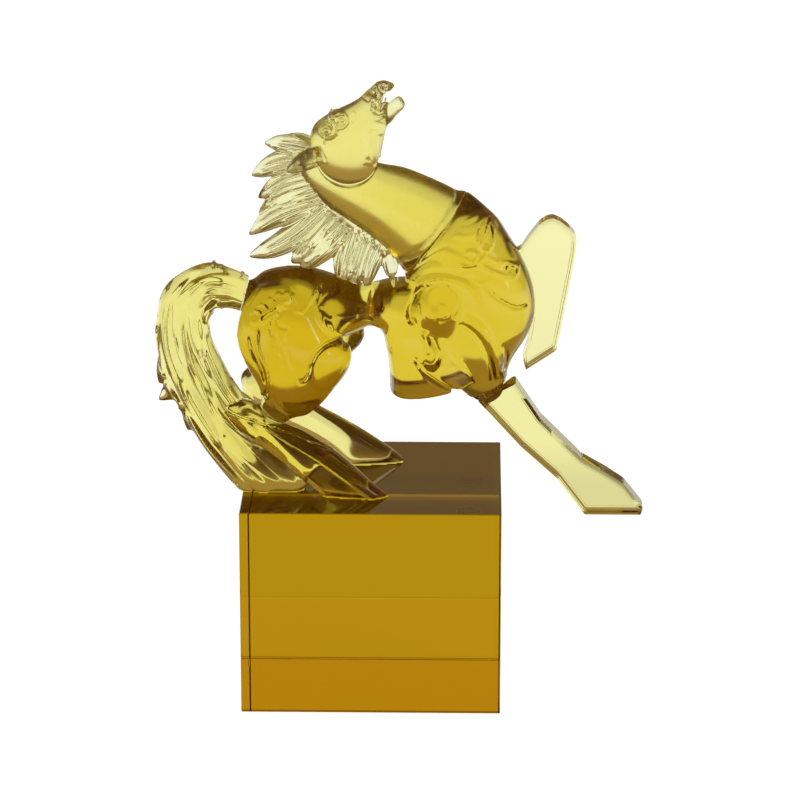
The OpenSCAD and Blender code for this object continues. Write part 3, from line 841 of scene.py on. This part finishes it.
def sculpt_tail():
    clay = Clay((-70, -23, -1), (-9, 7, 71), 0.36)
    outline = np.vstack([tail_path(1, 18), tail_path(0, 18)[::-1]])
    limit = 9 - 3.8 * smoothstep(8, 40, clay.pz)
    lean = tail_lean(clay.pz)[:, None, :]
    clay.join(clay.form(outline, lean, 0.95, limit))
    for root, tip, width, bend in TAIL_LOCKS:
        clay.join(clay.form(leaf(root, tip, width, bend), lean, 0.95, 4.5), 1.0)
    strands = 9
    relief = 0
    for i in range(strands):
        share = (i + 0.5) / strands
        path = tail_path(share)
        t = np.linspace(0, 1, len(path))
        sway = 0.8 * np.sin(2 * np.pi * (1.6 * t + 0.37 * i)) * smoothstep(0, 0.3, t)
        path = path + sway[:, None]
        relief = relief + clay.line(path[2:-1:4], 1.4, 0.7 + 0.3 * math.sin(2.3 * i), False)
        start = int(6 + 24 * ((i * 0.618) % 1))
        relief = relief + clay.line(path[start:start + 22:4] + 1.5, 0.8, -0.6)
        relief = relief + clay.line(path[start + 20:start + 38:4] - 1.3, 0.8, -0.4)
    clay.raise_surface(relief * (0.3 + 0.7 * smoothstep(6, 30, clay.pz)))
    clay.strand([(-37.4, 0, 61.6), (-39.6, 0, 61.4), (-40.8, 0, 59)], [2.2, 2.2, 2.0], 1.5, 1)
    clay.remove(both(-clay.beyond(TAIL_ROOT_JOINT, BOND), within(clay, TAIL_ROOT_JOINT, 12)))
    clay.remove(clay.everywhere(clay.z) - BOND)
    clay.remove(near_hind_form(clay) - 0.15)
    return clay


# Angle of the slanting line where the tail's fan lies against the near hind leg
SPLIT_SLOPE = 36.3


def above_split(clay):
    """Distance above that line."""
    slope = math.radians(SPLIT_SLOPE)
    return (clay.everywhere(clay.x) + 40) * math.sin(slope) + (clay.everywhere(clay.z) - 19) * math.cos(slope)


def sculpt_near_hind():
    clay = Clay((-49, -26, -1), (8, 0, 34), 0.36)
    clay.join(near_thigh_form(clay))
    clay.join(near_hind_form(clay), 1.2)
    relief = clay.line([(-44, 25.6), (-40, 26.6), (-36, 24.4), (-33, 21.8)], 0.6, -0.8)
    relief += clay.line([(-34, 22.6), (-26, 17.4), (-16, 12), (-6, 5.4), (2, -0.6)], 0.6, 0.9)
    relief += clay.line([(-40, 17.6), (-30, 11.8), (-21, 5.4), (-14, 0)], 0.7, 0.7)
    clay.raise_surface(relief)
    clay.remove(-clay.beyond(NEAR_HOCK_JOINT, BOND))
    clay.remove(clay.everywhere(clay.z) - BOND)
    clay.remove(above_split(clay) - 0.1)
    return clay


def sculpt_off_hind():
    clay = Clay((-44, 2, -1), (12, 23, 35), 0.36)
    clay.join(off_thigh_form(clay))
    clay.join(off_hind_form(clay), 1.2)
    clay.remove(-clay.beyond(OFF_HOCK_JOINT, BOND))
    clay.remove(clay.everywhere(clay.z) - BOND)
    return clay


# ---------------------------------------------------------------- faceted forelegs, films, pads and block

def offset_outline(path, inset):
    """A closed outline moved inwards by the same distance along every side."""
    p = np.array(path, float)
    area = 0.5 * np.sum(p[:, 0] * np.roll(p[:, 1], -1) - np.roll(p[:, 0], -1) * p[:, 1])
    turn = 1 if area > 0 else -1
    before = p - np.roll(p, 1, 0)
    after = np.roll(p, -1, 0) - p
    n1 = turn * np.stack([-before[:, 1], before[:, 0]], 1) / np.linalg.norm(before, axis=1)[:, None]
    n2 = turn * np.stack([-after[:, 1], after[:, 0]], 1) / np.linalg.norm(after, axis=1)[:, None]
    middle = n1 + n2
    return p + inset * 2 * middle / np.sum(middle * middle, 1)[:, None]


FACET_ROUNDING = 0.25


def facet_limb(name, node, outline, y_near, y_far, bevel, joint, neighbours):
    """A limb of cut and polished glass: a plate with wide bevels, trimmed at its joint."""
    rings = []
    for y, inset in ((y_near, bevel), (y_near + bevel, 0), (y_far - bevel, 0), (y_far, bevel)):
        ring = offset_outline(outline, inset) if inset else np.array(outline, float)
        rings.append([(x, y, z) for x, z in ring])
    points = [p for ring in rings for p in ring]
    obj = make_object(name, points, ring_faces(len(rings), len(outline)), FACET_GLASS, node)
    x, z, angle = joint
    normal = Vector((math.cos(math.radians(angle)), 0, math.sin(math.radians(angle))))
    place = figure_point(x, 0, z) + normal * BOND * MM
    shape = bmesh.new()
    shape.from_mesh(obj.data)
    bmesh.ops.recalc_face_normals(shape, faces=shape.faces)
    bmesh.ops.bevel(
        shape, geom=shape.edges[:], offset=FACET_ROUNDING * MM, segments=3, affect="EDGES", clamp_overlap=True
    )
    everything = shape.verts[:] + shape.edges[:] + shape.faces[:]
    cut = bmesh.ops.bisect_plane(shape, geom=everything, plane_co=place, plane_no=-normal, clear_outer=True)
    rim = [item for item in cut["geom_cut"] if isinstance(item, bmesh.types.BMEdge)]
    bmesh.ops.holes_fill(shape, edges=rim, sides=0)
    bmesh.ops.triangulate(shape, faces=[face for face in shape.faces if len(face.verts) > 4])
    shape.to_mesh(obj.data)
    shape.free()
    obj.data.shade_flat()
    mark_joints(obj, neighbours)
    return obj


def figure_point(x, y, z):
    return Vector(ORIGIN) + Vector((x, y, z)) * MM


def joint_place(joint):
    """Maps a spot in a joint's plane, and a distance past it, to a point of the figure."""
    x, z, angle = joint
    nx, nz = math.cos(math.radians(angle)), math.sin(math.radians(angle))
    return lambda u, y, w: np.stack([x + w * nx - u * nz, y, z + w * nz + u * nx], -1)


def jowl_place(u, y, w):
    """The same for the round joint under the jowl, with u as the distance around it."""
    radius = JOWL[2] + w
    angle = u / JOWL[2]
    return np.stack([JOWL[0] + radius * np.cos(angle), y, JOWL[1] + radius * np.sin(angle)], -1)


def film(name, place, u_range, y_range, inner, outer):
    """The clear adhesive between two pieces, cut to the outline in which they touch."""
    step, layer, probe = 0.4, 0.06, 0.5
    u = np.arange(u_range[0] - 1, u_range[1] + 1, step)
    y = np.arange(y_range[0] - 1, y_range[1] + 1, step)
    w = np.arange(-3, 4) * layer
    uu, yy = np.meshgrid(u, y, indexing="ij")
    flat = np.maximum(u_range[0] - uu, uu - u_range[1])
    flat = np.maximum(flat, np.maximum(y_range[0] - yy, yy - y_range[1]))
    for clay, depth in ((inner, -probe), (outer, BOND + probe)):
        if clay:
            spots = place(uu, yy, np.full_like(uu, depth)).reshape(-1, 3)
            flat = np.maximum(flat, clay.sample(clay.f, spots).reshape(uu.shape) + 0.15)
    field = np.maximum(flat[:, :, None], np.abs(w) - 0.42 * BOND)
    grid = openvdb.FloatGrid(1.0)
    grid.copyFromArray(np.ascontiguousarray(np.clip(field, -1, 1), dtype=np.float32))
    points, _, quads = grid.convertToPolygons(0.0, 0.0)
    out = BOND / 2 + w[0] + points[:, 2] * layer
    spots = place(u[0] + points[:, 0] * step, y[0] + points[:, 1] * step, out)
    obj = make_object(name + "_clear", spots, quads, ADHESIVE, name)
    mark_joints(obj, [clay for clay in (inner, outer) if clay])
    return obj


PAD_SPOTS = {
    "pad_front_left": (-30, -21), "pad_front_right": (30, -21),
    "pad_rear_left": (-30, 21), "pad_rear_right": (30, 21),
}


def rest_pads(underside):
    """Clear polymer bumpers: short turned discs with a rounded rim and a small dimple beneath."""
    # [radius, height above the block's underside], from the middle of the top round to that of the dimple
    profile = [
        (0.001, -0.02), (3.2, -0.02), (3.6, -0.06), (4.0, -0.4), (3.98, -0.9), (3.85, -1.28), (3.5, -1.5),
        (1.0, -1.5), (0.7, -1.4), (0.001, -1.35),
    ]
    count = 48
    faces = ring_faces(len(profile), count)
    for node, (px, py) in PAD_SPOTS.items():
        points = []
        for r, z in profile:
            for k in range(count):
                angle = 2 * math.pi * k / count
                points.append((px + r * math.cos(angle), py + r * math.sin(angle), underside + z))
        obj = make_object(node + "_bumper", points, faces, PAD_POLYMER, node)
        shape = bmesh.new()
        shape.from_mesh(obj.data)
        bmesh.ops.remove_doubles(shape, verts=shape.verts, dist=0.00002)
        bmesh.ops.recalc_face_normals(shape, faces=shape.faces)
        shape.to_mesh(obj.data)
        shape.free()
        obj.data.shade_smooth()


BLOCK_SIZE = (80, 72, 65)
BLOCK_BEVEL = 0.25


def block(feet):
    """The polished block, with fine bevels and bonded patches under the feet."""
    length, width, height = BLOCK_SIZE
    shape = bmesh.new()
    for vert in bmesh.ops.create_cube(shape, size=1.0)["verts"]:
        vert.co = figure_point(vert.co.x * length, vert.co.y * width, (vert.co.z - 0.5) * height)
    bmesh.ops.bevel(shape, geom=shape.edges[:], offset=BLOCK_BEVEL * MM, segments=1, affect="EDGES")
    # The top is cut into 1 mm squares where the feet stand, so that the bonded ones can be marked
    cuts = [((x, 0), (1, 0)) for x in np.arange(-38, 14, 1.0)]
    cuts += [((0, y), (0, 1)) for y in np.arange(-24, 24, 1.0)]
    level = figure_point(0, 0, 0).z - 1e-6
    for (x, y), (nx, ny) in cuts:
        upper = [face for face in shape.faces if all(vert.co.z > level for vert in face.verts)]
        geometry = set(upper)
        for face in upper:
            geometry.update(face.edges)
            geometry.update(face.verts)
        place = figure_point(x, y, 0)
        bmesh.ops.bisect_plane(shape, geom=list(geometry), plane_co=place, plane_no=(nx, ny, 0))
    mesh = bpy.data.meshes.new("block_glass")
    shape.to_mesh(mesh)
    shape.free()
    obj = add_object("block_glass", mesh, BLOCK_GLASS, "base_block")
    mesh.shade_flat()
    mark_joints(obj, feet)
    return obj


# ---------------------------------------------------------------- assembly

torso = sculpt_torso()
neck = sculpt_neck()
head = sculpt_head()
mane = sculpt_mane()
forelock = sculpt_forelock()
tail = sculpt_tail()
near_hind = sculpt_near_hind()
off_hind = sculpt_off_hind()
figure = [torso, neck, head, mane, forelock, tail, near_hind, off_hind]


def others(clay):
    return [piece for piece in figure if piece is not clay]


cast(torso, "torso_glass", "torso", BODY_GLASS, others(torso))
cast(neck, "neck_glass", "neck", SATIN_GLASS, others(neck))
cast(head, "head_glass", "head", SATIN_GLASS, others(head))
cast(mane, "mane_glass", "mane", CARVED_GLASS, others(mane), 2)
cast(forelock, "forelock_glass", "forelock", CARVED_GLASS, others(forelock), 2)
cast(tail, "tail_glass", "tail", TAIL_GLASS, others(tail), 2)
cast(near_hind, "near_hind_glass", "near_hind_leg", HOCK_GLASS, others(near_hind), 7)
cast(off_hind, "off_hind_glass", "off_hind_leg", BODY_GLASS, others(off_hind), 7)

NEAR_FORELEG = [
    (28, 40), (29, 32.6), (37, 24), (46, 14), (57, 4), (66, -8), (83.4, -8), (84, -5.6), (78, 2), (72, 6),
    (65, 10), (58, 17), (52, 23), (48, 29), (44, 35), (40, 42),
]
OFF_FORELEG = [
    (42, 70), (45.6, 72), (48.6, 76.4), (51.4, 80), (53.4, 81.4), (55.4, 81.9), (57.6, 81), (60.4, 78.8),
    (62.2, 76.8), (62.9, 74.6), (62.6, 71), (61.8, 66), (60.4, 58), (58.8, 49), (57, 39.4), (46.4, 32.2),
    (46.5, 37), (48, 42), (49, 48), (48, 52), (42, 52),
]
facet_limb("near_foreleg_glass", "near_foreleg", NEAR_FORELEG, -13.2, -3.8, 1.0, NEAR_FORELEG_JOINT, [torso])
facet_limb("off_foreleg_glass", "off_foreleg", OFF_FORELEG, 6, 14, 1.0, OFF_FORELEG_JOINT, [torso])

film("bond_neck", joint_place(NECK_JOINT), (-19, 19), (-22, 22), torso, neck)
film("bond_tail_root", joint_place(TAIL_ROOT_JOINT), (-8, 8), (-9, 9), torso, tail)
film("bond_near_foreleg", joint_place(NEAR_FORELEG_JOINT), (-6, 8), (-11.5, -5.5), torso, None)
film("bond_off_foreleg", joint_place(OFF_FORELEG_JOINT), (-5, 14), (7.6, 12.4), torso, None)
film("bond_near_hock", joint_place(NEAR_HOCK_JOINT), (-20, 20), (-24, -3), torso, near_hind)
film("bond_off_hock", joint_place(OFF_HOCK_JOINT), (-20, 20), (3, 22), torso, off_hind)
film("bond_near_hoof", joint_place((-10, 0, 90)), (-20, 30), (-26, 0), None, near_hind)
film("bond_off_hoof", joint_place((-10, 0, 90)), (-22, 25), (2, 24), None, off_hind)
film("bond_tail_foot", joint_place((-30, 0, 90)), (-22, 22), (-20, 2), None, tail)
film("bond_poll", jowl_place, (-JOWL[2] * math.pi * 0.9, JOWL[2] * 0.2), (-9, 9), head, neck)
rest_pads(-BLOCK_SIZE[2])
block([tail, near_hind, off_hind])


# ---------------------------------------------------------------- camera, floor and light

CAMERA_PITCH = math.radians(17.284)
CAMERA_YAW = math.radians(-1.121)
CAMERA_DISTANCE = 1.1825
CAMERA_LENS = 171.0
CAMERA_AIM = figure_point(8.395, 0, 25.17)

forward = Vector((
    math.sin(CAMERA_YAW) * math.cos(CAMERA_PITCH), math.cos(CAMERA_YAW) * math.cos(CAMERA_PITCH),
    -math.sin(CAMERA_PITCH)
))
camera_data = bpy.data.cameras.new("Camera")
camera_data.lens = CAMERA_LENS
camera_data.sensor_width = 36.0
camera_data.clip_start = 0.01
camera = bpy.data.objects.new("Camera", camera_data)
camera.location = CAMERA_AIM - forward * CAMERA_DISTANCE
camera.rotation_euler = forward.to_track_quat("-Z", "Y").to_euler()
bpy.context.scene.collection.objects.link(camera)
bpy.context.scene.camera = camera

FLOOR_REACH = 6.0
floor_mesh = bpy.data.meshes.new("Floor")
floor_mesh.from_pydata(
    [(-FLOOR_REACH, -FLOOR_REACH, 0), (FLOOR_REACH, -FLOOR_REACH, 0), (FLOOR_REACH, FLOOR_REACH, 0),
     (-FLOOR_REACH, FLOOR_REACH, 0)], [], [(0, 1, 2, 3)]
)
floor = bpy.data.objects.new("Floor", floor_mesh)
bpy.context.scene.collection.objects.link(floor)
floor_material, floor_nodes, floor_links = new_material("Floor_White")
floor_shader = floor_nodes["Principled BSDF"]
floor_shader.inputs["Base Color"].default_value = (0.55, 0.55, 0.55, 1)
floor_shader.inputs["Roughness"].default_value = 0.9


# The floor glows: dark under the piece and in front of it, brighter in steps behind it, and brightest
# further out all round. The camera sees it as an even white.
BACKLIGHT = (0.92, 1.0, 0.92, 1)
WHITE = (1, 1, 1, 1)
FLOOR_DARK = 0.05
FLOOR_SURROUND = 0.7
# Each step is [start y, end y, brightness it adds]: just behind the block, further back, behind the horse
FLOOR_STEPS = [(0.037, 0.039, 0.28), (0.0945, 0.0985, 0.42), (0.19, 0.25, 0.2)]
floor_place = floor_nodes.new("ShaderNodeTexCoord")
floor_axes = floor_nodes.new("ShaderNodeSeparateXYZ")
floor_links.new(floor_place.outputs["Object"], floor_axes.inputs["Vector"])
glow = None
for low, high, added in FLOOR_STEPS:
    step = ramp(floor_nodes, floor_links, floor_axes.outputs["Y"], low, high, 0, added)
    total = floor_nodes.new("ShaderNodeMath")
    floor_links.new(step, total.inputs[0])
    if glow:
        floor_links.new(glow, total.inputs[1])
    else:
        total.inputs[1].default_value = FLOOR_DARK
    glow = total.outputs["Value"]
# Further out it's bright all round, so that the glass is lit through from every side
from_centre = floor_nodes.new("ShaderNodeVectorMath")
from_centre.operation = "LENGTH"
floor_links.new(floor_place.outputs["Object"], from_centre.inputs[0])
surround = ramp(floor_nodes, floor_links, from_centre.outputs["Value"], 0.3, 0.6, 0, FLOOR_SURROUND)
brightest = floor_nodes.new("ShaderNodeMath")
brightest.operation = "MAXIMUM"
floor_links.new(glow, brightest.inputs[0])
floor_links.new(surround, brightest.inputs[1])
glow = brightest.outputs["Value"]
seen = floor_nodes.new("ShaderNodeLightPath")


def camera_switch(kind, suffix):
    """A mix of two sides. Returns what lights the piece, what the camera sees, and the result."""
    node = floor_nodes.new("ShaderNodeMix")
    node.data_type = kind
    floor_links.new(seen.outputs["Is Camera Ray"], node.inputs["Factor"])
    sockets = {socket.identifier: socket for socket in (*node.inputs, *node.outputs)}
    return [sockets[f"{part}_{suffix}"] for part in ("A", "B", "Result")]


lights, shows, strength = camera_switch("FLOAT", "Float")
floor_links.new(glow, lights)
shows.default_value = 1.0
floor_links.new(strength, floor_shader.inputs["Emission Strength"])
lights, shows, colour = camera_switch("RGBA", "Color")
lights.default_value = BACKLIGHT
shows.default_value = WHITE
floor_links.new(colour, floor_shader.inputs["Emission Color"])
floor.data.materials.append(floor_material)

# The room: a dim warm brown that's a little lighter overhead and low down behind
ROOM_LOW = 0.11
ROOM_HIGH = 0.24
ROOM_BEHIND = 0.3
ROOM_TINT = (1.0, 0.72, 0.32, 1)
world = bpy.data.worlds.new("Studio")
world.use_nodes = True
sky_nodes, sky_links = world.node_tree.nodes, world.node_tree.links
sky_place = sky_nodes.new("ShaderNodeTexCoord")
sky_axes = sky_nodes.new("ShaderNodeSeparateXYZ")
sky_links.new(sky_place.outputs["Generated"], sky_axes.inputs["Vector"])
room = ramp(sky_nodes, sky_links, sky_axes.outputs["Z"], 0.35, 0.8, ROOM_LOW, ROOM_HIGH)
behind = ramp(sky_nodes, sky_links, sky_axes.outputs["Y"], 0.3, 0.8, 0, ROOM_BEHIND)
level = ramp(sky_nodes, sky_links, sky_axes.outputs["Z"], 0.36, 0.5, 1, 0)
brightness = sky_nodes.new("ShaderNodeMath")
brightness.operation = "MULTIPLY_ADD"
for source, socket in zip((behind, level, room), brightness.inputs):
    sky_links.new(source, socket)
sky_links.new(brightness.outputs["Value"], sky_nodes["Background"].inputs["Strength"])
sky_nodes["Background"].inputs["Color"].default_value = ROOM_TINT
bpy.context.scene.world = world


def area_light(name, location, target, size, radiance, height):
    """A soft rectangular light of a given brightness, out of the camera's direct sight."""
    data = bpy.data.lights.new(name, "AREA")
    data.shape = "RECTANGLE"
    data.size = size
    data.size_y = height
    data.energy = radiance * math.pi * data.size * data.size_y
    light = bpy.data.objects.new(name, data)
    light.location = location
    light.rotation_euler = (Vector(target) - Vector(location)).to_track_quat("-Z", "Y").to_euler()
    light.visible_camera = False
    bpy.context.scene.collection.objects.link(light)


# Just behind the block's lowest part, and as wide as the block
STRIP_Z = 0.01065
area_light(
    "Low_Strip", (ORIGIN[0], 0.04, STRIP_Z), (ORIGIN[0], 0, STRIP_Z), size=0.086, radiance=0.42, height=0.0203
)
area_light("Tall_Window", (0.55, -0.35, 0.35), (0.01, 0, 0.13), size=0.05, radiance=4.0, height=0.4)

scene = bpy.context.scene
scene.view_settings.view_transform = "Standard"
scene.cycles.max_bounces = 32
scene.cycles.transmission_bounces = 32
scene.cycles.glossy_bounces = 8
